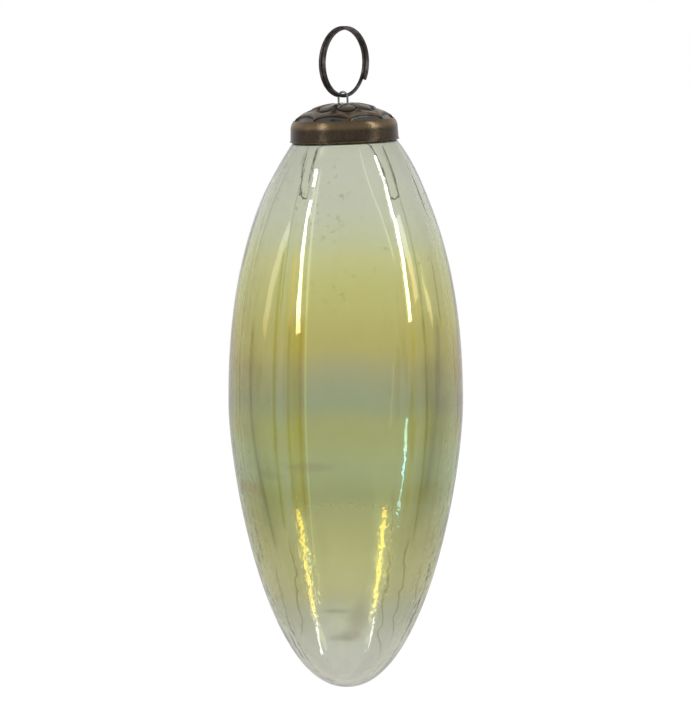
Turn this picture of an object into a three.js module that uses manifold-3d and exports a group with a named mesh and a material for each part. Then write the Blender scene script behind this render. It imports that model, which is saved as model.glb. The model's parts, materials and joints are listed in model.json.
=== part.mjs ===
import * as THREE from "three";
import { mergeVertices } from "three/addons/utils/BufferGeometryUtils.js";
import Module from "manifold-3d";

// A long blown-glass Christmas bauble, hung by a split ring from a stamped brass cap.
// Millimetres and degrees, +Z up. The origin is the point inside the top of the ring
// where a hook bears. "Rim" is the plane of the cap's lower edge: heights and depths
// of the cap, the clip and the glass are measured from it, along their own axis.

const seatGap = 0.3; // left between two pieces that touch on the real object

// split ring
const ringWire = 1.3;
const ringBore = 22.1;
const ringCoilGap = 0.45;
const ringFrontEnd = -32; // angle from +X of the end on the -Y side
const ringBackEnd = 260; // angle from +X of the other end, one turn further on

// cap, stamped from one sheet
const sheet = 0.5;
const rimRadius = 18.7;
const bandTaper = 0.3; // how much narrower the band is at its top
const bandHeight = 4.4;
const shoulderRadius = 4.7; // of the rounded shoulder, in section
const crownSlope = 35; // of the crown where it meets the shoulder
const crownHeight = 13.1;
const rimBead = 0.25; // how far the turned edge stands out
const capLean = 2.2; // the mouth of the glass is a little out of square, and the cap sits on it
const leanBearing = -52; // direction from +X in which the cap stands highest
const leanHeight = 5; // above the rim, of the point about which the cap leans

// relief of the crown
const lobes = 8;
const archPeak = 14; // radius of each arch at its middle
const archFoot = 16.6; // radius where two arches meet in a cusp
const archDepth = 1;
const archSide = 1.2; // width of the step from the crown into the hollow
const hollowFade = 0.9; // width over which the hollow runs out on the shoulder
const petalTip = 12;
const petalNotch = 8.8; // radius of the dip between two petals
const petalRoot = 3.6;
const petalRise = 0.25; // how far the petals stand proud
const grooveDepth = 0.4;
const grooveWidth = 0.75;

// spring clip, bent from one wire
const clipWire = 0.7;
const loopWidth = 3.9; // between the centres of its two legs
const ringLift = 1.85; // from the top of the crown to the underside of the ring
const crownDrop = 2.2; // how far the legs run straight below the top of the crown
const legSpread = 9.6; // from the axis to each leg, in the plane of the rim
const legBow = 1.4; // how far each leg bows outwards on its way to the hairpin
const hairpinDepth = 20.4;
const hairpinReach = 20.4;
const hairpinBend = 0.95; // radius of the bend at the bottom

// glass
const glassRadius = 40.7;
const equatorDepth = 92;
const bottomDepth = 189.5;
const wall = 1.5;
const bottomWall = 2.4;
const upperFullness = 0.67; // exponents of the two halves of the outline
const upperTaper = 2.3;
const lowerFullness = 0.47;
const lowerTaper = 1.5;
const seatWidth = 0.7; // how far the glass shoulder stands out past the rim
const seatRound = 0.7;
const neckHeight = 5.5;
const neckPlay = 0.7; // between the neck and the inside of the band
const neckWall = 1.9;
const fluteDepth = 0.55;
const fluteBearing = 18; // direction of one crease between two flutes
const fluteRunOut = 38; // height over which the flutes die out above the bottom
const leanRun = 22; // depth over which the glass body leans into its neck
const glassLean = 0.25; // what is left of the lean in the body

// how finely the shapes are faceted
const glassFacets = 64;
const glassRings = 10; // in each half of the outer face
const innerRings = 8;
const capFacets = 72;
const crownRings = 16;
const ringFacets = 12;
const ringSteps = 40; // in each turn
const clipFacets = 8;
const clipSteps = 96;

const deg = THREE.MathUtils.degToRad;
const smooth = THREE.MathUtils.smoothstep;

const wasm = await Module();
wasm.setup();

// Closed mesh to solid and back, for the boolean cuts.
function toSolid(geometry) {
  const bare = geometry.clone();
  bare.deleteAttribute("normal");
  bare.deleteAttribute("uv");
  const merged = mergeVertices(bare, 1e-4);
  return new wasm.Manifold(
    new wasm.Mesh({
      numProp: 3,
      vertProperties: new Float32Array(merged.attributes.position.array),
      triVerts: new Uint32Array(merged.index.array),
    }),
  );
}

function toGeometry(solid) {
  const { numProp, numVert, vertProperties, triVerts } = solid.getMesh();
  const points = new Float32Array(numVert * 3);
  for (let i = 0; i < numVert; i++) {
    points.set(vertProperties.subarray(i * numProp, i * numProp + 3), i * 3);
  }
  const geometry = new THREE.BufferGeometry()
    .setAttribute("position", new THREE.BufferAttribute(points, 3))
    .setIndex(new THREE.BufferAttribute(triVerts, 1));
  geometry.computeVertexNormals();
  return geometry;
}

// Turns an outline of (radius, height) points round the Z axis. It starts and ends on the
// axis, and has the solid on its left, seen with the radius to the right.
function revolve(outline, facets) {
  const geometry = new THREE.LatheGeometry(outline, facets);
  geometry.rotateX(Math.PI / 2);
  return geometry;
}

// Moves every vertex: shape(radius, azimuth, height) returns the new radius and height.
function reshape(geometry, shape) {
  const p = geometry.attributes.position;
  for (let i = 0; i < p.count; i++) {
    const azimuth = Math.atan2(p.getY(i), p.getX(i));
    const [radius, height] = shape(Math.hypot(p.getX(i), p.getY(i)), azimuth, p.getZ(i));
    p.setXYZ(i, radius * Math.cos(azimuth), radius * Math.sin(azimuth), height);
  }
  geometry.computeVertexNormals();
  return geometry;
}

// Arc of an outline, from one angle to another, in the given number of steps.
function arc(radius, height, size, from, to, steps) {
  const curve = new THREE.EllipseCurve(radius, height, size, size, deg(from), deg(to), from > to);
  return curve.getPoints(steps);
}

// Round wire bent along a path. A circle takes two facets for each curve segment.
function wire(path, diameter, steps, facets) {
  const section = new THREE.Shape().absarc(0, 0, diameter / 2, 0, 2 * Math.PI);
  return new THREE.ExtrudeGeometry(section, {
    steps,
    extrudePath: path,
    bevelEnabled: false,
    curveSegments: facets / 2,
  });
}

// Places that several pieces share.
const ringRadius = (ringBore + ringWire) / 2; // to the middle of the wire
const ringLowest = -ringBore / 2 - ringRadius; // middle of the wire, below the hang point
const ringHeight = crownHeight + ringLift + ringWire / 2; // of that point above the rim
const bandTop = rimRadius - bandTaper;
const neckRadius = bandTop - sheet - neckPlay;
const neckBore = neckRadius - neckWall;
const throatDepth = seatGap + wall; // underside of the glass shoulder, inside
const leanHinge = new THREE.Vector3(Math.sin(deg(leanBearing)), -Math.cos(deg(leanBearing)), 0);

// Hanging ring: a flat helix in the XZ plane that starts on the -Y side at its front end,
// runs over the top and passes the lowest point once, at y = 0.
class SplitRing extends THREE.Curve {
  getPoint(t, target = new THREE.Vector3()) {
    const angle = THREE.MathUtils.lerp(ringFrontEnd, ringBackEnd + 360, t);
    const y = ((ringWire + ringCoilGap) * (angle - 270)) / 360;
    const [x, z] = [Math.cos(deg(angle)), Math.sin(deg(angle))];
    return target.set(ringRadius * x, y, ringRadius * z - ringBore / 2);
  }
}

function hangingRing() {
  const path = new SplitRing();
  const turns = (ringBackEnd + 360 - ringFrontEnd) / 360;
  const perTurn = 90; // points on which the gap between two coils is measured
  const points = path.getPoints(Math.round(turns * perTurn));
  let least = Infinity;
  points.forEach((a, i) =>
    points.slice(i + perTurn / 2).forEach((b) => {
      least = Math.min(least, a.distanceTo(b) - ringWire);
    }),
  );
  console.log(`hanging ring: ${turns.toFixed(2)} turns, least gap ${least.toFixed(2)} mm`);
  return wire(path, ringWire, Math.round(turns * ringSteps), ringFacets);
}

// Relief of the crown: raised petals outlined by grooves, then a smooth zone, then the
// hollows under the arches. Cusps and petals share their middle line.
function crownRelief(radius, azimuth) {
  const cell = (2 * Math.PI) / lobes;
  const turn = THREE.MathUtils.euclideanModulo(azimuth, cell) - cell / 2;
  const fromArch = Math.min(1, Math.abs(turn) / (cell / 2)); // 0 mid-arch, 1 at the cusp
  const arch = archPeak + (archFoot - archPeak) * (1 - Math.sqrt(1 - fromArch ** 2));
  const hollow = smooth(radius, arch, arch + archSide);
  const shoulder = 1 - smooth(radius, archFoot, archFoot + hollowFade);
  const petal = petalTip - (petalTip - petalNotch) * (1 - fromArch) ** 2;
  const outline = Math.exp(-(((radius - petal) / grooveWidth) ** 2));
  const between = Math.exp(-(((radius * Math.sin(turn)) / grooveWidth) ** 2));
  const inside = smooth(radius, petalRoot, petalRoot + 1) * (1 - smooth(radius, petal - 1, petal));
  const groove = grooveDepth * Math.max(outline, between * inside);
  return petalRise * inside - groove - archDepth * hollow * shoulder;
}

// Cap: one sheet, drawn to a domed crown with two holes, a rounded shoulder and a band.
function cap() {
  const shoulderTurn = 90 - crownSlope;
  const shoulderCentre = bandTop - shoulderRadius;
  const crownFoot = shoulderCentre + shoulderRadius * Math.cos(deg(shoulderTurn));
  const crownRise = crownHeight - bandHeight - shoulderRadius * Math.sin(deg(shoulderTurn));
  // the crown falls away from its top by a power of the radius that meets the shoulder in line
  const power = (Math.tan(deg(crownSlope)) * crownFoot) / crownRise;
  const crownAt = (radius) => crownHeight - crownRise * (radius / crownFoot) ** power;
  const underCrown = (radius) => {
    const slope = Math.tan(deg(crownSlope)) * (radius / crownFoot) ** (power - 1);
    return crownAt(radius) - sheet * Math.hypot(1, slope);
  };
  const rings = (count) => {
    const radii = Array.from({ length: count }, (_, i) => crownFoot * (i / count) ** 0.75);
    return radii.slice(1); // closer together towards the arches
  };
  const outside = [
    new THREE.Vector2(0, crownHeight),
    ...rings(crownRings).map((radius) => new THREE.Vector2(radius, crownAt(radius))),
    ...arc(shoulderCentre, bandHeight, shoulderRadius, shoulderTurn, 0, 6),
    new THREE.Vector2(rimRadius, rimBead * 4),
    new THREE.Vector2(rimRadius + rimBead, rimBead * 1.5),
    new THREE.Vector2(rimRadius, 0),
  ];
  const inside = [
    new THREE.Vector2(rimRadius - sheet, 0),
    ...arc(shoulderCentre, bandHeight, shoulderRadius - sheet, 0, shoulderTurn, 4),
    ...rings(crownRings / 2)
      .filter((radius) => radius < crownFoot - sheet)
      .reverse()
      .map((radius) => new THREE.Vector2(radius, underCrown(radius))),
    new THREE.Vector2(0, crownHeight - sheet),
  ];
  const blank = revolve([...outside, ...inside].reverse(), capFacets);
  reshape(blank, (radius, azimuth, height) => [
    radius,
    height > bandHeight ? height + crownRelief(radius, azimuth) : height,
  ]);
  let solid = toSolid(blank);
  const hole = clipWire / 2 + seatGap;
  for (const side of [-1, 1]) {
    const punch = new THREE.CylinderGeometry(hole, hole, crownHeight, 16);
    punch.rotateX(Math.PI / 2);
    punch.translate(0, (side * loopWidth) / 2, crownHeight);
    solid = solid.subtract(toSolid(punch));
  }
  return toGeometry(solid);
}

// Spring clip: loop over the ring, legs down through the crown, and a hairpin on each leg
// whose free end comes back up under the shoulder of the glass.
function springClip() {
  const loopTop = ringHeight + ringWire / 2 + seatGap + clipWire / 2;
  const loopCentre = loopTop - loopWidth / 2;
  const legEnd = crownHeight - crownDrop;
  const inner = hairpinReach - hairpinBend;
  const outer = hairpinReach + hairpinBend;
  const bendTop = hairpinBend - hairpinDepth;
  const endRadius = neckBore + clipWire + seatGap;
  const endDepth = throatDepth + seatGap + clipWire / 4;
  const leg = (side) =>
    [
      [loopWidth / 2, (loopCentre + legEnd) / 2],
      [loopWidth / 2, legEnd],
      [legSpread, 0],
      [(legSpread + inner) / 2 + legBow, bendTop / 2],
      [inner, bendTop],
      [hairpinReach, -hairpinDepth],
      [outer, bendTop],
      [(endRadius + outer) / 2 + legBow / 2, (bendTop - endDepth) / 2],
      [endRadius, -endDepth],
    ].map(([y, z]) => new THREE.Vector3(0, side * y, z));
  const loop = [150, 120, 90, 60, 30].map((angle) => {
    const [y, z] = [Math.cos(deg(angle)), Math.sin(deg(angle))];
    return new THREE.Vector3(0, (y * loopWidth) / 2, loopCentre + (z * loopWidth) / 2);
  });
  const knots = [...leg(-1).reverse(), ...loop, ...leg(1)];
  const path = new THREE.CatmullRomCurve3(knots, false, "centripetal");
  return wire(path, clipWire, clipSteps, clipFacets);
}

// Outline of the outer face of the body, from its bottom pole up to the cap's seat. Both
// halves are near-ellipses; the upper one is cut off where it meets the seat.
function bodyOutline(count) {
  const seat = (rimRadius + seatWidth) / glassRadius;
  const rise = equatorDepth - seatGap - seatRound;
  const upperHalf = rise / (1 - seat ** (1 / upperFullness)) ** (1 / upperTaper);
  const lowerHalf = bottomDepth - equatorDepth;
  const points = [];
  for (let i = 0; i <= count; i++) {
    const t = Math.cos((Math.PI / 2) * (i / count));
    const radius = glassRadius * (1 - t ** lowerTaper) ** lowerFullness;
    points.push(new THREE.Vector2(i ? radius : 0, -equatorDepth - lowerHalf * t));
  }
  const last = Math.asin(rise / upperHalf);
  for (let i = 1; i <= count; i++) {
    const t = Math.sin((last * i) / count);
    const radius = glassRadius * (1 - t ** upperTaper) ** upperFullness;
    points.push(new THREE.Vector2(radius, -equatorDepth + upperHalf * t));
  }
  return points;
}

// The same outline moved inwards by the wall, which thickens towards the bottom.
function insideOutline(count) {
  const outer = bodyOutline(count);
  return outer.map((point, i) => {
    const before = outer[Math.max(i - 1, 0)];
    const after = outer[Math.min(i + 1, outer.length - 1)];
    const along = after.clone().sub(before).normalize();
    const sunk = Math.max(0, -point.y - equatorDepth) / (bottomDepth - equatorDepth);
    const thickness = wall + (bottomWall - wall) * sunk ** 4;
    if (i === 0) return new THREE.Vector2(0, point.y + thickness);
    return new THREE.Vector2(point.x - along.y * thickness, point.y + along.x * thickness);
  });
}

// Glass body: fluted shell, seat for the cap's rim and open neck.
function glassBody() {
  const seatRadius = rimRadius + seatWidth;
  const lip = neckWall / 2;
  const outline = [
    ...bodyOutline(glassRings),
    ...arc(seatRadius - seatRound, -seatGap - seatRound, seatRound, 0, 90, 3).slice(1),
    new THREE.Vector2(neckRadius + seatGap, -seatGap),
    new THREE.Vector2(neckRadius, 0),
    ...arc(neckRadius - lip, neckHeight - lip, lip, 0, 180, 4),
    ...arc(neckBore + seatRound, seatRound - throatDepth, seatRound, 180, 270, 2),
    new THREE.Vector2(seatRadius - wall, -throatDepth),
    ...insideOutline(innerRings)
      .filter((point) => point.y < -throatDepth - seatRound)
      .reverse(),
  ];
  const shell = revolve(outline, glassFacets);
  // each flute bulges between two creases, and all fade out at both ends
  reshape(shell, (radius, azimuth, height) => {
    const across = Math.abs(Math.sin((lobes / 2) * (azimuth - deg(fluteBearing))));
    const runOut = smooth(-height, bottomDepth - fluteRunOut, bottomDepth);
    const fade = smooth(-height, throatDepth, leanRun) * (1 - runOut);
    return [radius - (fluteDepth * (1 - across) ** 2 * fade * radius) / glassRadius, height];
  });
  // the neck leans with the cap, and the body below it hangs nearly straight
  const p = shell.attributes.position;
  for (let i = 0; i < p.count; i++) {
    const point = new THREE.Vector3().fromBufferAttribute(p, i);
    const turn = (capLean - glassLean) * (1 - smooth(-point.z, 0, leanRun));
    point.applyAxisAngle(leanHinge, deg(turn));
    p.setXYZ(i, point.x, point.y, point.z);
  }
  return toGeometry(toSolid(shell));
}

const bronze = new THREE.MeshStandardMaterial({ color: 0x4a4038, roughness: 0.45, metalness: 1 });
const steel = new THREE.MeshStandardMaterial({ color: 0x8c8880, roughness: 0.35, metalness: 1 });
const brass = new THREE.MeshStandardMaterial({ color: 0x8a6c42, roughness: 0.4, metalness: 1 });
const lustreGlass = new THREE.MeshStandardMaterial({
  color: 0xb4b66e,
  roughness: 0.05,
  metalness: 0,
  transparent: true,
  opacity: 0.5,
});

function mesh(name, geometry, material) {
  const made = new THREE.Mesh(geometry, material);
  made.name = name;
  return made;
}

const bauble = new THREE.Group();
bauble.add(mesh("hanging_ring", hangingRing(), bronze));

// The cap and the clip hang from the lowest point of the ring, leaning together.
const leaning = new THREE.Group();
leaning.position.z = ringLowest - ringHeight + leanHeight;
leaning.quaternion.setFromAxisAngle(leanHinge, deg(capLean));
const atRim = new THREE.Group();
atRim.position.z = -leanHeight;
atRim.add(mesh("cap", cap(), brass), mesh("spring_clip", springClip(), steel));
leaning.add(atRim);
bauble.add(leaning);

// The glass hangs from the middle of the rim.
const glass = mesh("glass_body", glassBody(), lustreGlass);
bauble.updateMatrixWorld(true);
glass.position.setFromMatrixPosition(atRim.matrixWorld);
glass.quaternion.setFromAxisAngle(leanHinge, deg(glassLean));
bauble.add(glass);

export default bauble;
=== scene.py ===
import json
import math

import bpy
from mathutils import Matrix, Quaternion, Vector


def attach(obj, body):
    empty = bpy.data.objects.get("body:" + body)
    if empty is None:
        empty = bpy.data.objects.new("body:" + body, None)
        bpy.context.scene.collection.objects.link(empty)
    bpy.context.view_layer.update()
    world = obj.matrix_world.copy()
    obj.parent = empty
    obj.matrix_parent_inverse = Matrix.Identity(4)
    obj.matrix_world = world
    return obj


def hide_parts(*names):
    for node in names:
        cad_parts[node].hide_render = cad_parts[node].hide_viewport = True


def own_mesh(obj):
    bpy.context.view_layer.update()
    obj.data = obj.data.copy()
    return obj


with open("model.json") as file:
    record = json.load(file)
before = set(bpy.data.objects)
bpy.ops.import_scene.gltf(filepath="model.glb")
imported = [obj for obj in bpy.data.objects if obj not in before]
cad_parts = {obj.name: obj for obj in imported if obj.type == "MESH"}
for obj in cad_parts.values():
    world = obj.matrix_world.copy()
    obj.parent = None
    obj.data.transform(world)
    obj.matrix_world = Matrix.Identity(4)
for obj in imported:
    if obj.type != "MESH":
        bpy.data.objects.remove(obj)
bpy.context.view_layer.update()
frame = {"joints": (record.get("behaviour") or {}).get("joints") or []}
mm = 0.001
scene = bpy.context.scene
scene.view_settings.view_transform = "Standard"
print("frame loaded")

# where the pieces sit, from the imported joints
joints = {joint["name"]: joint for joint in frame["joints"]}
swingPoint = Vector(joints["ring_swing"]["pos_m"])
capUp = -Vector(joints["cap_pull"]["axis"])
rimToSwing = 15.6 * mm  # from the cap's rim up to the middle of the ring's wire
rimToLeanPoint = 5 * mm  # from the rim up to the point that the cap and the glass lean about
rimCentre = swingPoint - Vector((0, 0, rimToSwing - rimToLeanPoint)) - capUp * rimToLeanPoint
leanTurn = Vector((0, 0, 1)).rotation_difference(capUp)
glassDepth = 190  # of the bottom, below the rim, in mm
bandHeight = 4.4  # of the cap's plain band, in mm


class Socket:
    # one output of a node; sums and products of these add Math nodes
    def __init__(self, maker, end):
        self.maker = maker
        self.end = end

    def __add__(self, other):
        return self.maker.math("ADD", self, other)

    def __sub__(self, other):
        return self.maker.math("SUBTRACT", self, other)

    def __mul__(self, other):
        return self.maker.math("MULTIPLY", self, other)

    def __truediv__(self, other):
        return self.maker.math("DIVIDE", self, other)

    def __pow__(self, other):
        return self.maker.math("POWER", self, other)

    def __rsub__(self, other):
        return self.maker.math("SUBTRACT", other, self)

    __radd__ = __add__
    __rmul__ = __mul__

    def of(self, name):
        return Socket(self.maker, self.end.node.outputs[name])


class Maker:
    # adds nodes to one tree, of a material, the world or geometry nodes
    def __init__(self, tree):
        self.tree = tree

    def node(self, kind, settings=None, inputs=None, output=0):
        made = self.tree.nodes.new(kind)
        for name, value in (settings or {}).items():
            if name == "stops":
                self.setStops(made.color_ramp, value)
            elif name == "points":
                self.setPoints(made.mapping, value)
            else:
                setattr(made, name, value)
        for name, value in (inputs or {}).items():
            if isinstance(value, Socket):
                self.tree.links.new(value.end, made.inputs[name])
            else:
                made.inputs[name].default_value = value
        return Socket(self, made.outputs[output]) if made.outputs else None

    def setStops(self, ramp, stops):
        while len(ramp.elements) < len(stops):
            ramp.elements.new(1)
        for element, (place, colour) in zip(ramp.elements, stops):
            element.position = place
            element.color = (*colour, 1)

    def setPoints(self, mapping, points):
        curve = mapping.curves[0]
        while len(curve.points) < len(points):
            curve.points.new(0.5, 0.5)
        for point, place in zip(curve.points, points):
            point.location = place
        mapping.update()

    def math(self, operation, *values):
        return self.node("ShaderNodeMath", {"operation": operation}, dict(enumerate(values)))

    def smooth(self, value, low, high, start=0.0, end=1.0):
        settings = {"interpolation_type": "SMOOTHSTEP"}
        ends = {"Value": value, "From Min": low, "From Max": high, "To Min": start, "To Max": end}
        return self.node("ShaderNodeMapRange", settings, ends)

    def bump(self, value, middle, width):
        # 1 at the middle, falling off on both sides
        return self.math("EXPONENT", ((value - middle) / width) ** 2 * -1)

    def blend(self, factor, first, second):
        settings = {"data_type": "RGBA", "clamp_factor": True}
        return self.node("ShaderNodeMix", settings, {0: factor, 6: first, 7: second}, 2)

    def stain(self, factor, colour, tint):
        # the colour times a tint, as far as the factor says
        settings = {"data_type": "RGBA", "blend_type": "MULTIPLY", "clamp_factor": True}
        return self.node("ShaderNodeMix", settings, {0: factor, 6: colour, 7: (*tint, 1)}, 2)

    def noise(self, place, scale, detail=2.0):
        return self.node("ShaderNodeTexNoise", None, {"Vector": place, "Scale": scale, "Detail": detail})


def srgb(red, green, blue):
    # a colour as it is seen, 0 to 255, to the linear values that shaders take
    def linear(value):
        value /= 255
        return value / 12.92 if value <= 0.04045 else ((value + 0.055) / 1.055) ** 2.4

    return (linear(red), linear(green), linear(blue))


def ring(make, radius, angle, height):
    # the place at an angle round the Z axis
    across = radius * make.math("COSINE", angle)
    along = radius * make.math("SINE", angle)
    return make.node("ShaderNodeCombineXYZ", None, {"X": across, "Y": along, "Z": height})


def newMaterial(name):
    material = bpy.data.materials.new(name)
    material.use_nodes = True
    material.node_tree.nodes.clear()
    return material, Maker(material.node_tree)


def finishMaterial(make, surface):
    make.node("ShaderNodeOutputMaterial", None, {"Surface": surface})


# camera at the photograph's viewing angle
cameraLook = {
    "azimuth": -52,
    "elevation": 4.5,
    "distance": 2.0,
    "mmPerPixel": 0.345,
    "imageSize": (690, 708),
    "hangPixel": (344.05, 29.7),  # where the hang point shows
}


def addCamera(look):
    turn, rise = math.radians(look["azimuth"]), math.radians(look["elevation"])
    back = Vector((math.sin(turn) * math.cos(rise), -math.cos(turn) * math.cos(rise), math.sin(rise)))
    across = Vector((math.cos(turn), math.sin(turn), 0))
    up = back.cross(across)
    width, height = look["imageSize"]
    scale = look["mmPerPixel"] * mm
    target = across * (width / 2 - look["hangPixel"][0]) * scale
    target -= up * (height / 2 - look["hangPixel"][1]) * scale
    lens = bpy.data.cameras.new("camera")
    lens.sensor_width = 36
    lens.lens = lens.sensor_width * look["distance"] / (max(width, height) * scale)
    lens.clip_start = 0.05
    camera = bpy.data.objects.new("camera", lens)
    camera.location = target + back * look["distance"]
    camera.rotation_euler = back.to_track_quat("Z", "Y").to_euler()
    scene.collection.objects.link(camera)
    scene.camera = camera


addCamera(cameraLook)
frontBearing = math.radians(218)  # direction from +X of the face that bearings on the glass start from
print("camera placed")

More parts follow.
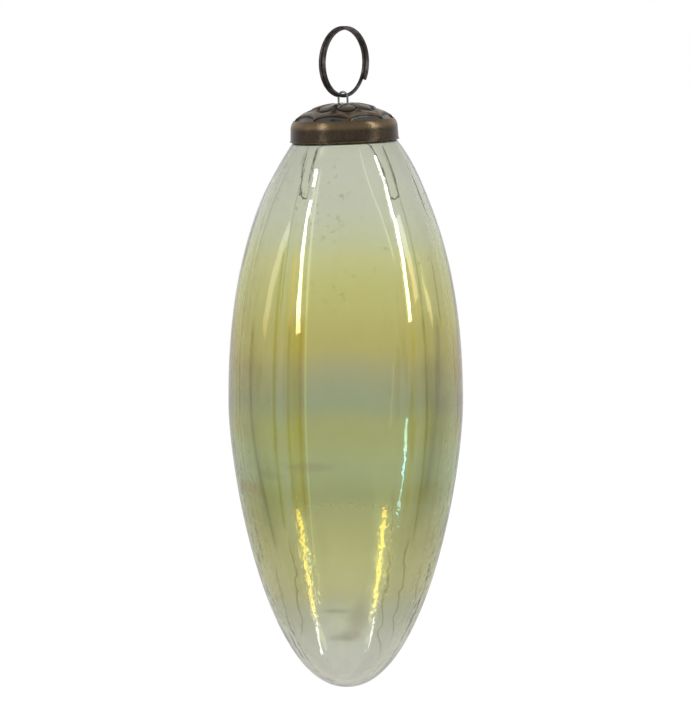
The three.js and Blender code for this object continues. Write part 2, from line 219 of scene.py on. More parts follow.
# materials
glassLook = {
    "depth": glassDepth,
    # lustre seen through both walls: depth in mm and colour
    "bands": [
        (0, (207, 211, 190)),
        (12, (209, 214, 194)),
        (26, (202, 209, 180)),
        (40, (200, 204, 142)),
        (52, (190, 190, 110)),
        (75, (174, 169, 100)),
        (90, (146, 159, 113)),
        (104, (151, 164, 106)),
        (120, (139, 158, 110)),
        (135, (158, 161, 101)),
        (149, (175, 176, 118)),
        (163, (168, 169, 131)),
        (175, (195, 195, 173)),
        (189, (198, 197, 180)),
    ],
    "bandDrift": 10,  # how far the bands wander up and down, in mm
    "roughness": 0.015,
    "ior": 1.5,
    # lustre film that colours what the glass mirrors: where each begins, and its thickness in nm
    "films": [(36, 100), (58, 118), (73, 145), (91, 112), (103, 96), (116, 120), (123, 102), (158, 72)],
    "topFilm": 76,
    "filmIor": 1.9,
    "filmBlend": 4,
    "filmDrift": 8,
    "goldInside": 104,  # film on the inner face of the lowest third
    "goldFrom": 124,
    "goldBlend": 4,
    "backHaze": 0.3,  # roughness of the far side, but for its middle in the lowest third
    "backFrom": (95, 115),  # bearings over which the haze begins
    "backClear": (147, 153),  # bearings over which that clear middle begins
    "backClearRun": 26,
    # scale and detail of each noise
    "grains": {
        "cloud": (60.0, 4.0),
        "wander": (2.5, 3.0),
        "streakWaver": (1.2, 1.0),
        "darkWavyLineWaver": (130.0, 2.0),
        "specks": (420.0, 3.0),
        "longRipple": (9.0, 2.0),
        "pebble": (150.0, 2.0),
        "grit": (900.0, 1.0),
        "swell": (280.0, 2.0),
    },
    # heights of the bump, and the depths over which its swell comes and goes
    "longRipple": 0.3,
    "pebble": 0.07,
    "grit": 0.012,
    "gritUnderCap": 0.03,
    "gritPeak": (12, 9),  # depth and spread of that
    "swell": 0.7,
    "swellFrom": (84, 140),
    "swellTo": (150, 178),
    "darkWavyLineSway": 9,  # how far the thin dark lines waver, in degrees
    "patchSway": 3,
    "speckTint": (0.66, 0.68, 0.64),
    "specksTo": (35, 70),
    # faint streaks all round, and the depths over which they come and go
    "allRound": [
        {"grain": (14.0, 3.0), "edge": 0.72, "tint": (0.78, 0.76, 0.5)},
        {"grain": (4.0, 2.0), "edge": 0.75, "tint": (0.74, 0.8, 0.84)},
    ],
    "allRoundFrom": (35, 80),
    "allRoundTo": (120, 165),
    # streaks on the front half, many of them painted highlights and painted shade, each along points of depth
    # in mm and bearing in degrees
    # their tints are ratios of colours as seen
    "streaks": [
        # light lines: painted highlights, thin lines and yellow and orange fringes standing for the lamps
        # mirrored at the creases and in the lustre
        {"route": [(6, -20), (60, -19.5), (100, -19), (145, -18.5)], "width": 0.45, "tint": (1.3, 1.3, 1.2)},
        {"route": [(8, -20.5), (30, -20), (60, -19.5)], "width": 0.7, "tint": (1.3, 1.3, 1.25)},
        {"route": [(0, 14.5), (10, 17), (17, 20), (25, 24), (42, 29)], "width": 0.5,
         "tint": (1.45, 1.45, 1.4)},
        {"route": [(70, 24.5), (100, 21.5)], "width": 0.4, "tint": (1.15, 1.15, 1.1)},
        {"route": [(70, 33), (92, 32)], "width": 0.4, "tint": (1.12, 1.12, 1.1)},
        {"route": [(34, 45), (50, 48), (64, 50)], "width": 0.9, "tint": (1.22, 1.18, 0.9)},
        {"route": [(26, 37), (38, 40), (48, 41)], "width": 0.9, "tint": (1.18, 1.18, 1.0)},
        {"route": [(60, -32.5), (98, -32.5)], "width": 1.1, "tint": (1.08, 1.04, 1.16)},
        {"route": [(34, -28), (66, -28)], "width": 1.5, "tint": (1.2, 1.04, 0.7)},
        {"route": [(36, 38), (64, 39.5)], "width": 1.3, "tint": (1.2, 1.03, 0.66)},
        # golden bars
        {"route": [(56, -25), (130, -24)], "width": 4.2, "tint": (0.98, 0.92, 0.48)},
        {"route": [(56, -22), (130, -21.5)], "width": 1.3, "tint": (0.88, 0.78, 0.24)},
        {"route": [(58, -28.5), (126, -28)], "width": 0.9, "tint": (0.86, 0.82, 0.3)},
        {"route": [(30, -36.5), (95, -36.3), (136, -35.8)], "width": 1.1, "tint": (0.76, 0.78, 0.3)},
        {"route": [(58, 36), (90, 35), (130, 34)], "width": 2.2, "tint": (0.98, 0.94, 0.6)},
        # dark lines: painted shade, standing for dark things mirrored and bent at the creases
        {"route": [(0, -37), (15, -35.5), (30, -34.5), (62, -34.5)], "width": 0.5, "tint": (0.75, 0.79, 0.7)},
        {"route": [(5, -55), (20, -57), (40, -60), (62, -62)], "width": 0.8, "tint": (0.86, 0.86, 0.72)},
        {"route": [(58, -53), (80, -53), (95, -52), (110, -50), (125, -47), (142, -45)], "width": 1.3,
         "tint": (0.6, 0.63, 0.56)},
        {"route": [(72, -63.5), (96, -62.5)], "width": 0.6, "tint": (0.7, 0.68, 0.48)},
        {"route": [(0, 40), (15, 41), (30, 42.5), (68, 43)], "width": 0.8, "tint": (0.72, 0.76, 0.55)},
        {"route": [(56, 43), (110, 43), (140, 42)], "width": 1.1, "tint": (0.7, 0.74, 0.38)},
        {"route": [(36, 56.5), (65, 56.5)], "width": 0.5, "tint": (0.5, 0.48, 0.36)},
        {"route": [(62, 68), (88, 68)], "width": 0.7, "tint": (0.68, 0.62, 0.55)},
        # broad bands: painted shade that darkens the glass towards its sides, and at the last two a painted
        # lilac sheen of the film where the sides are seen at a grazing angle
        {"route": [(56, 53.5), (75, 52.5), (90, 50.5), (105, 48.5), (124, 46.5)], "width": 2.6,
         "tint": (0.66, 0.72, 0.77)},
        {"route": [(70, -46), (90, -44), (135, -41)], "width": 6.0, "tint": (0.95, 0.95, 0.82)},
        {"route": [(90, -52), (110, -50), (138, -47)], "width": 5.0, "tint": (0.88, 0.9, 0.88)},
        {"route": [(70, 46), (90, 45), (135, 44)], "width": 5.0, "tint": (0.84, 0.84, 0.68)},
        {"route": [(84, 56), (104, 53), (130, 50)], "width": 7.0, "tint": (0.86, 0.87, 0.86)},
        {"route": [(58, -78), (100, -77)], "width": 4.0, "tint": (0.86, 0.8, 1.0)},
        {"route": [(62, 76), (100, 75)], "width": 4.0, "tint": (0.84, 0.78, 0.98)},
    ],
    "darkWavyLines": [
        # painted shade: thin dark lines that waver in the lowest third, for dark things mirrored in the far
        # wall
        {"route": [(132, -34), (150, -33.5), (160, -36), (165, -37), (174, -50)], "width": 0.8,
         "tint": (0.56, 0.56, 0.4)},
        {"route": [(142, -48.5), (156, -50), (168, -51)], "width": 1.0, "tint": (0.64, 0.65, 0.5)},
        {"route": [(136, 26), (150, 28), (158, 27), (165, 30), (168, 28.5), (173, 35), (180, 42)],
         "width": 0.8, "tint": (0.62, 0.62, 0.5)},
        {"route": [(132, 42), (141, 39), (150, 40.5), (155, 39), (160, 41), (164, 40), (174, 50)],
         "width": 0.8, "tint": (0.54, 0.55, 0.4)},
        {"route": [(142, 53), (152, 55), (162, 58), (172, 56)], "width": 1.0, "tint": (0.7, 0.72, 0.68)},
    ],
    "softPatches": [
        # soft patches, some of them painted shade and painted light as marked below: depth and bearing of the
        # middle, how tall and how wide
        {"depth": 109.5, "bearing": -19, "tall": 1.6, "wide": 15, "tint": (0.87, 0.83, 0.88)},
        {"depth": 113, "bearing": -40, "tall": 1.8, "wide": 7, "tint": (0.88, 0.86, 0.88)},
        {"depth": 119, "bearing": -63, "tall": 2.6, "wide": 13, "tint": (0.98, 0.8, 0.76)},
        {"depth": 127, "bearing": -60, "tall": 4.5, "wide": 13, "tint": (0.96, 0.9, 0.68)},
        {"depth": 97, "bearing": -66, "tall": 6, "wide": 9, "tint": (1.0, 0.93, 0.86)},
        {"depth": 96, "bearing": 72, "tall": 7, "wide": 6, "tint": (1.0, 0.93, 0.84)},
        # the next five: painted shade and light of the thick bottom, a dark crescent round a lighter middle
        {"depth": 164, "bearing": 11, "tall": 6, "wide": 7, "tint": (0.84, 0.81, 0.7)},
        {"depth": 169.5, "bearing": 5, "tall": 2.0, "wide": 9, "tint": (0.8, 0.77, 0.66)},
        {"depth": 170.5, "bearing": -3, "tall": 1.2, "wide": 12, "tint": (0.8, 0.78, 0.71)},
        {"depth": 160.5, "bearing": -5, "tall": 0.8, "wide": 10, "tint": (0.8, 0.79, 0.72)},
        {"depth": 165, "bearing": -5.5, "tall": 2.8, "wide": 8, "tint": (1.09, 1.09, 1.05)},
        # the next three: painted light, the sides made lighter for what the glass mirrors at its edges
        {"depth": 158, "bearing": -74, "tall": 11, "wide": 9, "tint": (1.13, 1.13, 1.15)},
        {"depth": 158, "bearing": 70, "tall": 11, "wide": 9, "tint": (1.13, 1.13, 1.15)},
        {"depth": 114, "bearing": 78, "tall": 22, "wide": 4, "tint": (1.15, 1.15, 1.18)},
        {"depth": 136, "bearing": -56, "tall": 7, "wide": 10, "tint": (0.97, 0.98, 0.86)},
        {"depth": 122, "bearing": -43, "tall": 16, "wide": 8, "tint": (0.9, 0.94, 0.8)},
        {"depth": 118, "bearing": 46, "tall": 20, "wide": 8, "tint": (0.9, 0.93, 0.82)},
        {"depth": 97, "bearing": -70, "tall": 4, "wide": 7, "tint": (1.08, 0.98, 0.9)},
        {"depth": 97, "bearing": 72, "tall": 4, "wide": 7, "tint": (1.06, 0.97, 0.88)},
        {"depth": 137, "bearing": 61, "tall": 3, "wide": 1.6, "tint": (0.75, 0.76, 0.62)},
    ],
}


def glassPlace(make):
    # depth below the rim in mm and bearing in degrees, both along the glass
    place = make.node("ShaderNodeTexCoord", None, None, "Object")
    fromRim = make.node("ShaderNodeVectorMath", {"operation": "SUBTRACT"}, {0: place, 1: rimCentre})
    apart = make.node("ShaderNodeSeparateXYZ", None, {0: fromRim})
    depth = apart.of("Z") * (-1 / mm)
    angle = make.math("ARCTAN2", apart.of("Y"), apart.of("X")) - (frontBearing - math.pi)
    bearing = (make.math("FLOORED_MODULO", angle, 2 * math.pi) - math.pi) * (180 / math.pi)
    across = make.math("COSINE", angle)
    along = make.math("SINE", angle)
    # noise on this runs in long lines down the glass
    around = make.node("ShaderNodeCombineXYZ", None, {"X": across, "Y": along, "Z": depth * 0.0025})
    # 0 on the panes that face the camera and lie opposite, which have no faint streaks
    pane = make.smooth(make.math("ABSOLUTE", along), 0.3, 0.5)
    return {"place": place, "depth": depth, "bearing": bearing, "around": around, "pane": pane}


def alongRoute(make, spot, waver, streak, whole):
    # 1 on the streak, 0 away from it and past its ends
    route, depth = streak["route"], spot["depth"]
    fade = 8  # mm over which its ends run out
    points = [(at / whole, (turn + 90) / 180) for at, turn in route]
    middle = make.node("ShaderNodeFloatCurve", {"points": points}, {"Value": depth / whole})
    mask = make.bump(spot["bearing"] + waver, middle * 180 - 90, streak["width"])
    first, last = route[0][0], route[-1][0]
    return mask * make.smooth(depth, first, first + fade) * make.smooth(depth, last - fade, last, 1.0, 0.0)


def patch(make, depth, bearing, softPatch):
    # 1 in the middle of a soft patch
    down = (depth - softPatch["depth"]) / softPatch["tall"]
    sideways = (bearing - softPatch["bearing"]) / softPatch["wide"]
    return make.math("EXPONENT", (down**2 + sideways**2) ** 2 * -1)


def asSeen(tint):
    # a ratio of colours as they are seen, to about the ratio of their linear values
    return [value**2 for value in tint]


# the glass's colour: its lustre, with painted highlights and painted shade laid over it
def lustreAndPaintedLight(make, look, spot, cloud, wander):
    place, depth, around = spot["place"], spot["depth"], spot["around"]
    whole, grains, drift = look["depth"], look["grains"], look["bandDrift"]
    stops = [(at / whole, srgb(*seen)) for at, seen in look["bands"]]
    level = (depth + wander * drift - drift / 2) / whole
    tint = make.node("ShaderNodeValToRGB", {"stops": stops}, {0: level})
    reach = make.smooth(depth, *look["allRoundFrom"], 0.2, 1.0) * spot["pane"]
    reach = reach * make.smooth(depth, *look["allRoundTo"], 1.0, 0.3)
    for streak in look["allRound"]:
        mask = make.smooth(make.noise(around, *streak["grain"]), 0.5, streak["edge"]) * reach
        tint = make.stain(mask, tint, streak["tint"])
    waver = make.noise(around, *grains["streakWaver"]) * 2 - 1
    # streaks, many of them painted highlights and painted shade
    for streak in look["streaks"]:
        tint = make.stain(alongRoute(make, spot, waver, streak, whole), tint, asSeen(streak["tint"]))
    # painted shade: thin dark lines that waver in the lowest third
    waver = (make.noise(place, *grains["darkWavyLineWaver"]) - 0.5) * look["darkWavyLineSway"]
    for darkWavyLine in look["darkWavyLines"]:
        tint = make.stain(alongRoute(make, spot, waver, darkWavyLine, whole), tint, asSeen(darkWavyLine["tint"]))
    waver = (cloud - 0.5) * 2
    turned = spot["bearing"] + waver * look["patchSway"]
    # soft patches, some of them painted shade and painted light
    for softPatch in look["softPatches"]:
        mask = patch(make, depth + waver * softPatch["tall"], turned, softPatch)
        tint = make.stain(mask, tint, asSeen(softPatch["tint"]))
    specks = make.smooth(make.noise(place, *grains["specks"]), 0.58, 0.72) * make.smooth(cloud, 0.45, 0.62)
    return make.stain(specks * make.smooth(depth, *look["specksTo"], 1.0, 0.3), tint, look["speckTint"])


def blownSurface(make, look, spot):
    # ripples, pebbles and grit that the blowing left, as a bump
    place, depth, grains = spot["place"], spot["depth"], look["grains"]
    ripple = make.noise(spot["around"], *grains["longRipple"]) * look["longRipple"]
    ripple = ripple + make.noise(place, *grains["pebble"]) * look["pebble"]
    grit = make.bump(depth, *look["gritPeak"]) * look["gritUnderCap"] + look["grit"]
    ripple = ripple + make.noise(place, *grains["grit"]) * grit
    swell = make.smooth(depth, *look["swellFrom"], 0.0, look["swell"])
    swell = swell * make.smooth(depth, *look["swellTo"], 1.0, 0.3)
    ripple = ripple + make.noise(place, *grains["swell"]) * swell
    return make.node("ShaderNodeBump", None, {"Height": ripple, "Distance": 0.5 * mm, "Strength": 0.5})


def farHaze(make, look, spot):
    # the far side is rough, so that what lies behind it is soft
    turned = make.math("ABSOLUTE", spot["bearing"])
    back = make.smooth(turned, *look["backFrom"])
    clear = make.smooth(turned, *look["backClear"])
    clear = clear * make.smooth(spot["depth"], look["goldFrom"], look["goldFrom"] + look["backClearRun"])
    return back * (1 - clear) * look["backHaze"] + look["roughness"]


def lustreGlass(look):
    material, make = newMaterial("lustre_glass")
    spot = glassPlace(make)
    cloud = make.noise(spot["place"], *look["grains"]["cloud"])
    wander = make.noise(spot["around"], *look["grains"]["wander"])
    tint = lustreAndPaintedLight(make, look, spot, cloud, wander)
    normal = blownSurface(make, look, spot)
    rough = farHaze(make, look, spot)

    def glass(colour, nanometres):
        return make.node(
            "ShaderNodeBsdfPrincipled",
            None,
            {
                "Base Color": colour,
                "Roughness": rough,
                "IOR": look["ior"],
                "Transmission Weight": 1.0,
                "Thin Film Thickness": float(nanometres),
                "Thin Film IOR": look["filmIor"],
                "Normal": normal,
            },
        )

    surface = glass(tint, look["topFilm"])
    level = spot["depth"] + wander * look["filmDrift"] - look["filmDrift"] / 2
    for start, nanometres in look["films"]:
        reach = make.smooth(level, start - look["filmBlend"], start + look["filmBlend"])
        surface = make.node("ShaderNodeMixShader", None, {0: reach, 1: surface, 2: glass(tint, nanometres)})
    # the inner face is clear, with a golden film in the lowest third
    clear = (1, 1, 1, 1)
    begin, blend = look["goldFrom"], look["goldBlend"]
    lowest = make.smooth(spot["depth"], begin - blend, begin + blend)
    inner = {0: lowest, 1: glass(clear, 0), 2: glass(clear, look["goldInside"])}
    inner = make.node("ShaderNodeMixShader", None, inner)
    inside = make.node("ShaderNodeAttribute", {"attribute_name": "inside"}, None, "Fac")
    surface = make.node("ShaderNodeMixShader", None, {0: inside, 1: surface, 2: inner})
    finishMaterial(make, surface)
    return material


brassLook = {
    "rubbed": (0.42, 0.30, 0.16),
    "aged": (0.20, 0.145, 0.09),
    "crown": (0.36, 0.34, 0.31),
    "floor": (0.2, 0.205, 0.21),
    "patina": (0.035, 0.027, 0.022),
    "roughness": 0.15,
    "cloudRoughness": 0.15,
    "patinaRoughness": 0.15,
    "cloudGrain": (180.0, 5.0),  # scale and detail of the noise
    "marksGrain": (30.0, 4.0),
    "marksStretch": 0.03,  # less draws the marks longer
    "lineLevel": -0.3,  # relief in mm at which the patina lies thickest
    "lineSpread": 0.36,
    "browLevel": 0.11,  # relief in mm that is rubbed bright
    "browSpread": 0.05,
    "hollowEdge": -0.6,  # relief in mm over which a hollow turns into its floor
    "hollowFloor": -0.9,
}


def antiqueBrass(look):
    material, make = newMaterial("antique_brass")
    place = make.node("ShaderNodeTexCoord", None, None, "Object")
    fromRim = make.node("ShaderNodeVectorMath", {"operation": "SUBTRACT"}, {0: place, 1: rimCentre})
    height = make.node("ShaderNodeVectorMath", {"operation": "DOT_PRODUCT"}, {0: fromRim, 1: capUp}, "Value")
    height = height / mm
    relief = make.node("ShaderNodeAttribute", {"attribute_name": "relief"}, None, "Fac")
    cloud = make.noise(place, *look["cloudGrain"])
    # drawing marks run up the band
    apart = make.node("ShaderNodeSeparateXYZ", None, {0: fromRim})
    angle = make.math("ARCTAN2", apart.of("Y"), apart.of("X"))
    marks = make.noise(ring(make, 1.0, angle, height * look["marksStretch"]), *look["marksGrain"])
    top = bandHeight
    band = make.smooth(height, top, top + 2.5, 1.0, 0.0)
    colour = make.blend(marks, look["aged"] + (1,), look["rubbed"] + (1,))
    # the band is dull with patina, less so at its rim and on the shoulder above it
    dull = make.smooth(height, 0.1, 0.6, 0.6, 1.0) * make.smooth(height, top - 0.6, top + 2.2, 1.0, 0.0)
    colour = make.blend(dull * (0.62 + marks * 0.5), colour, look["patina"] + (1,))
    crown = make.blend(make.smooth(cloud, 0.35, 0.65), look["crown"] + (1,), look["aged"] + (1,))
    shoulder = make.smooth(height, top + 3.2, top + 5.4)
    colour = make.blend(shoulder, colour, crown)
    # greyer on the floors of the hollows, bright on their brows, dark in the lines and on the steps
    floor = make.smooth(relief, look["hollowEdge"], look["hollowFloor"])
    colour = make.blend(floor, colour, look["floor"] + (1,))
    brow = make.bump(relief, look["browLevel"], look["browSpread"])
    colour = make.blend(brow, colour, look["rubbed"] + (1,))
    sunk = make.bump(relief + cloud * 0.3, look["lineLevel"], look["lineSpread"])
    colour = make.blend(sunk, colour, look["patina"] + (1,))
    rough = cloud * look["cloudRoughness"] + look["roughness"] + sunk * look["patinaRoughness"]
    drawn = {"Height": marks * band, "Distance": 0.2 * mm, "Strength": 0.35}
    normal = make.node("ShaderNodeBump", None, drawn)
    brass = {"Base Color": colour, "Roughness": rough, "Metallic": 1.0, "Normal": normal}
    finishMaterial(make, make.node("ShaderNodeBsdfPrincipled", None, brass))
    return material


bronzeLook = {
    "dark": (0.055, 0.046, 0.046),
    "worn": (0.19, 0.165, 0.155),
    "roughness": 0.35,
    "grain": (260.0, 4.0),
}
wireLook = {
    "dark": (0.2, 0.21, 0.19),
    "worn": (0.55, 0.56, 0.52),
    "roughness": 0.3,
    "grain": (400.0, 4.0),
}


def wireMetal(name, look):
    material, make = newMaterial(name)
    place = make.node("ShaderNodeTexCoord", None, None, "Object")
    cloud = make.noise(place, *look["grain"])
    colour = make.blend(make.smooth(cloud, 0.35, 0.75), look["dark"] + (1,), look["worn"] + (1,))
    wire = {"Base Color": colour, "Roughness": cloud * 0.2 + look["roughness"], "Metallic": 1.0}
    finishMaterial(make, make.node("ShaderNodeBsdfPrincipled", None, wire))
    return material


finishes = {
    "lustre_glass": lustreGlass(glassLook),
    "antique_brass": antiqueBrass(brassLook),
    "dark_bronze": wireMetal("dark_bronze", bronzeLook),
    "spring_wire": wireMetal("spring_wire", wireLook),
}
print("materials made")


def newTree(name, numbers):
    # a geometry nodes tree with named inputs for its sizes
    tree = bpy.data.node_groups.new(name, "GeometryNodeTree")
    tree.interface.new_socket("Geometry", in_out="INPUT", socket_type="NodeSocketGeometry")
    tree.interface.new_socket("Geometry", in_out="OUTPUT", socket_type="NodeSocketGeometry")
    for label in numbers:
        tree.interface.new_socket(label, in_out="INPUT", socket_type="NodeSocketFloat")
    make = Maker(tree)
    entry = make.node("NodeGroupInput")
    return tree, make, entry


def closeTree(make, geometry, material):
    smoothed = make.node("GeometryNodeSetShadeSmooth", None, {"Geometry": geometry})
    single = make.node("GeometryNodeRealizeInstances", None, {"Geometry": smoothed})
    painted = make.node("GeometryNodeSetMaterial", None, {"Geometry": single, "Material": material})
    make.node("NodeGroupOutput", None, {0: painted})


def keep(make, geometry, name, value):
    settings = {"data_type": "FLOAT", "domain": "POINT"}
    inputs = {"Geometry": geometry, "Name": name, "Value": value}
    return make.node("GeometryNodeStoreNamedAttribute", settings, inputs)


def runTree(name, points, tree, numbers, body, node, edges=(), layers=None):
    # points of an outline or a route go in, and a plain mesh in its place comes out
    seed = bpy.data.meshes.new(name)
    seed.from_pydata(points, edges, [])
    for layer, values in (layers or {}).items():
        seed.attributes.new(layer, "FLOAT", "POINT").data.foreach_set("value", values)
    holder = bpy.data.objects.new(name + "_seed", seed)
    scene.collection.objects.link(holder)
    modifier = holder.modifiers.new("make", "NODES")
    modifier.node_group = tree
    for item in tree.interface.items_tree:
        if item.in_out == "INPUT" and item.name in numbers:
            modifier[item.identifier] = float(numbers[item.name])
    evaluated = holder.evaluated_get(bpy.context.evaluated_depsgraph_get())
    mesh = bpy.data.meshes.new_from_object(evaluated)
    mesh.name = name
    piece = bpy.data.objects.new(name, mesh)
    scene.collection.objects.link(piece)
    bpy.data.objects.remove(holder)
    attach(piece, body)
    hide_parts(node)
    print(name, len(mesh.polygons), "faces")
    return piece


def spin(make, entry, rows, facets):
    # a grid wrapped round the Z axis, each row sampled from one point of the outline
    size = {"Size X": 1.0, "Size Y": 1.0, "Vertices X": facets + 1, "Vertices Y": rows}
    grid = make.node("GeometryNodeMeshGrid", None, size, "Mesh")
    place = make.node("GeometryNodeInputPosition")
    apart = make.node("ShaderNodeSeparateXYZ", None, {0: place})
    angle = (apart.of("X") + 0.5) * (2 * math.pi)
    row = make.math("ROUND", (apart.of("Y") + 0.5) * (rows - 1.0))

    def sample(value, kind):
        settings = {"data_type": kind, "domain": "POINT"}
        inputs = {"Geometry": entry.of("Geometry"), "Value": value, "Index": row}
        return make.node("GeometryNodeSampleIndex", settings, inputs)

    outline = make.node("ShaderNodeSeparateXYZ", None, {0: sample(place, "FLOAT_VECTOR")})
    return grid, angle, outline.of("X"), outline.of("Z"), sample


def named(make, name):
    return make.node("GeometryNodeInputNamedAttribute", {"data_type": "FLOAT"}, {"Name": name})


def seat(make, grid, place, lean):
    # leans a place about the rim and closes the wrapped grid into one skin
    turning = {"Vector": place, "Axis": leanTurn.axis, "Angle": lean}
    turned = make.node("ShaderNodeVectorRotate", {"rotation_type": "AXIS_ANGLE"}, turning)
    seated = make.node("ShaderNodeVectorMath", {"operation": "ADD"}, {0: turned, 1: rimCentre})
    moved = make.node("GeometryNodeSetPosition", None, {"Geometry": grid, "Position": seated})
    return make.node("GeometryNodeMergeByDistance", None, {"Geometry": moved, "Distance": 0.002 * mm})


def arc(centre, size, start, end, steps):
    # points of a round arc in the plane of the outline, angles in degrees
    points = []
    for step in range(steps + 1):
        turn = math.radians(start + (end - start) * step / steps)
        points.append((centre[0] + size * math.cos(turn), centre[1] + size * math.sin(turn)))
    return points


# glass body
glassShape = {
    "radius": 40.7,
    "equatorDepth": 92,
    "bottomDepth": glassDepth,
    "wall": 1.5,
    "shoulderWall": 0.45,
    "bottomWall": 2.4,
    "upperFullness": 0.67,
    "upperTaper": 2.3,
    "lowerFullness": 0.47,
    "lowerTaper": 1.5,
    "seatGap": 0.3,
    "seatRadius": 18.3,
    "seatRound": 0.2,
    "neckRadius": 17.2,
    "neckWall": 1.9,
    "neckHeight": 5.5,
    "coneSlope": 1.8,  # of the shoulder's run up to the neck, inside the cap
    "creases": 8,
    "creaseSharpness": 8,
    "Flute depth": 0.06,
    "Flute bearing": 18,
    "Flute run-out": 38,
    "Lean run": 22,
    "Body lean": 0.25,
    "Waviness": 0.28,
    "waveHeight": 2.0,
    "waveStretch": 0.014,  # less draws the ripples longer
    "longWave": 3.2,
    "shortWave": 9.0,
    "shortWaveShare": 0.35,
    "waveMiddle": 0.67,  # where the two together neither thicken nor thin the wall
    "wavesFrom": (100, 165),
    "wavesTo": (162, 180),
    "rowsOutside": 150,
    "rowsInside": 150,
    "facets": 288,
}


def bodyOutline(shape, count):
    rise = shape["equatorDepth"] - shape["seatGap"] - shape["seatRound"]
    share = (shape["seatRadius"] / shape["radius"]) ** (1 / shape["upperFullness"])
    upperHalf = rise / (1 - share) ** (1 / shape["upperTaper"])
    lowerHalf = shape["bottomDepth"] - shape["equatorDepth"]
    points = []
    half = count // 2
    for step in range(half + 1):
        down = math.cos(math.pi / 2 * step / half)
        radius = shape["radius"] * (1 - down ** shape["lowerTaper"]) ** shape["lowerFullness"]
        points.append((radius if step else 0, -shape["equatorDepth"] - lowerHalf * down))
    last = math.asin(rise / upperHalf)
    for step in range(1, half + 1):
        up = math.sin(last * step / half)
        radius = shape["radius"] * (1 - up ** shape["upperTaper"]) ** shape["upperFullness"]
        points.append((radius, -shape["equatorDepth"] + upperHalf * up))
    return points


def insideOutline(shape, count):
    outer = bodyOutline(shape, count)
    points = []
    for step, (radius, height) in enumerate(outer):
        before, after = outer[max(step - 1, 0)], outer[min(step + 1, len(outer) - 1)]
        along = Vector((after[0] - before[0], after[1] - before[1])).normalized()
        low = max(0, -height - shape["equatorDepth"]) / (shape["bottomDepth"] - shape["equatorDepth"])
        wall = shape["wall"] + (shape["bottomWall"] - shape["wall"]) * low**4
        near = max(0, 1 + height / shape["Lean run"])
        wall -= (shape["wall"] - shape["shoulderWall"]) * near**2
        if step == 0:
            points.append((0, height + wall))
        else:
            points.append((radius - along.y * wall, height + along.x * wall))
    return points


def glassTree(shape, rows):
    numbers = {name: value for name, value in shape.items() if name[0].isupper()}
    tree, make, entry = newTree("spun_glass", numbers)
    size = {name: entry.of(name) for name in numbers}
    grid, angle, radius, height, sample = spin(make, entry, rows, shape["facets"])
    inside = sample(named(make, "inside"), "FLOAT")
    depth = height * (-1 / mm)
    crease = (angle - make.math("RADIANS", size["Flute bearing"])) * (shape["creases"] / 2)
    crease = (1 - make.math("ABSOLUTE", make.math("SINE", crease))) ** shape["creaseSharpness"]
    bottom = shape["bottomDepth"]
    fade = make.smooth(depth, shape["seatGap"] + shape["wall"], size["Lean run"])
    fade = fade * make.smooth(depth, bottom - size["Flute run-out"], bottom, 1.0, 0.0)
    fluted = radius * (1 - crease * fade * size["Flute depth"] / shape["radius"])
    # the inner face keeps long ripples from the blowing, stronger towards the bottom
    around = ring(make, 1.0, angle, depth * shape["waveStretch"])
    share = shape["shortWaveShare"]
    ripple = make.noise(around, shape["longWave"]) + make.noise(around, shape["shortWave"], 1.0) * share
    ripple = ripple - shape["waveMiddle"]
    strength = make.smooth(depth, *shape["wavesFrom"], 0.03, 0.8)
    strength = strength * make.smooth(depth, *shape["wavesTo"], 1.0, 0.3)
    strength = strength * inside * make.smooth(radius, 1 * mm, 12 * mm) * size["Waviness"]
    place = ring(make, fluted + ripple * strength * (shape["waveHeight"] * mm), angle, height)
    straight = make.math("RADIANS", size["Body lean"])
    lean = straight + make.smooth(depth, 0, size["Lean run"], 1.0, 0.0) * (leanTurn.angle - straight)
    kept = keep(make, grid, "inside", inside)
    closeTree(make, seat(make, kept, place, lean), finishes["lustre_glass"])
    return tree, numbers


def glassBody(shape):
    outer = bodyOutline(shape, shape["rowsOutside"])
    seatRadius, gap, wall = shape["seatRadius"], shape["seatGap"], shape["shoulderWall"]
    # the shoulder runs on into the cap and ends in the neck, whose lip is round
    neck, lip = shape["neckRadius"], shape["neckWall"] / 2
    rise = (seatRadius - neck) * shape["coneSlope"]
    lipCentre = (neck - lip, shape["neckHeight"] - lip)
    outer += [(neck + (seatRadius - neck) / 3, rise * 2 / 3 - gap), (neck, rise)]
    outer += arc(lipCentre, lip, 0, 90, 5)
    bore = neck - 2 * lip
    inner = arc(lipCentre, lip, 90, 180, 5)[1:]
    inner += [(bore, rise - wall), (bore + (seatRadius - wall - bore) / 3, (rise - wall) * 2 / 3)]
    lower = [point for point in insideOutline(shape, shape["rowsInside"]) if point[1] < -gap]
    inner += lower[::-1]
    points = [(radius * mm, 0, height * mm) for radius, height in outer + inner]
    tree, numbers = glassTree(shape, len(points))
    layers = {"inside": [0.0] * len(outer) + [1.0] * len(inner)}
    name = "glass_body_shell"
    return runTree(name, points, tree, numbers, "glass", "glass_body", layers=layers)


glassBody(glassShape)

# cap
capShape = {
    "sheet": 0.5,
    "rimRadius": 18.7,
    "bandTaper": 0.15,
    "bandHeight": bandHeight,
    "shoulderRadius": 4.7,
    "crownSlope": 35,
    "crownHeight": 13.1,
    "rimBead": 0.14,
    "lobes": 8,
    "Arch peak": 14.0,
    "Arch foot": 16.6,
    "Arch depth": 1.0,
    "Arch side": 1.2,
    "Hollow fade": 0.9,
    "Brow inset": 0.4,
    "Brow width": 0.6,
    "Brow rise": 0.12,
    "Petal tip": 12.0,
    "Petal notch": 8.8,
    "Petal root": 3.6,
    "Petal rise": 0.25,
    "Petal edge": 1.0,
    "Groove depth": 0.5,
    "Groove width": 0.85,
    "facets": 360,
}


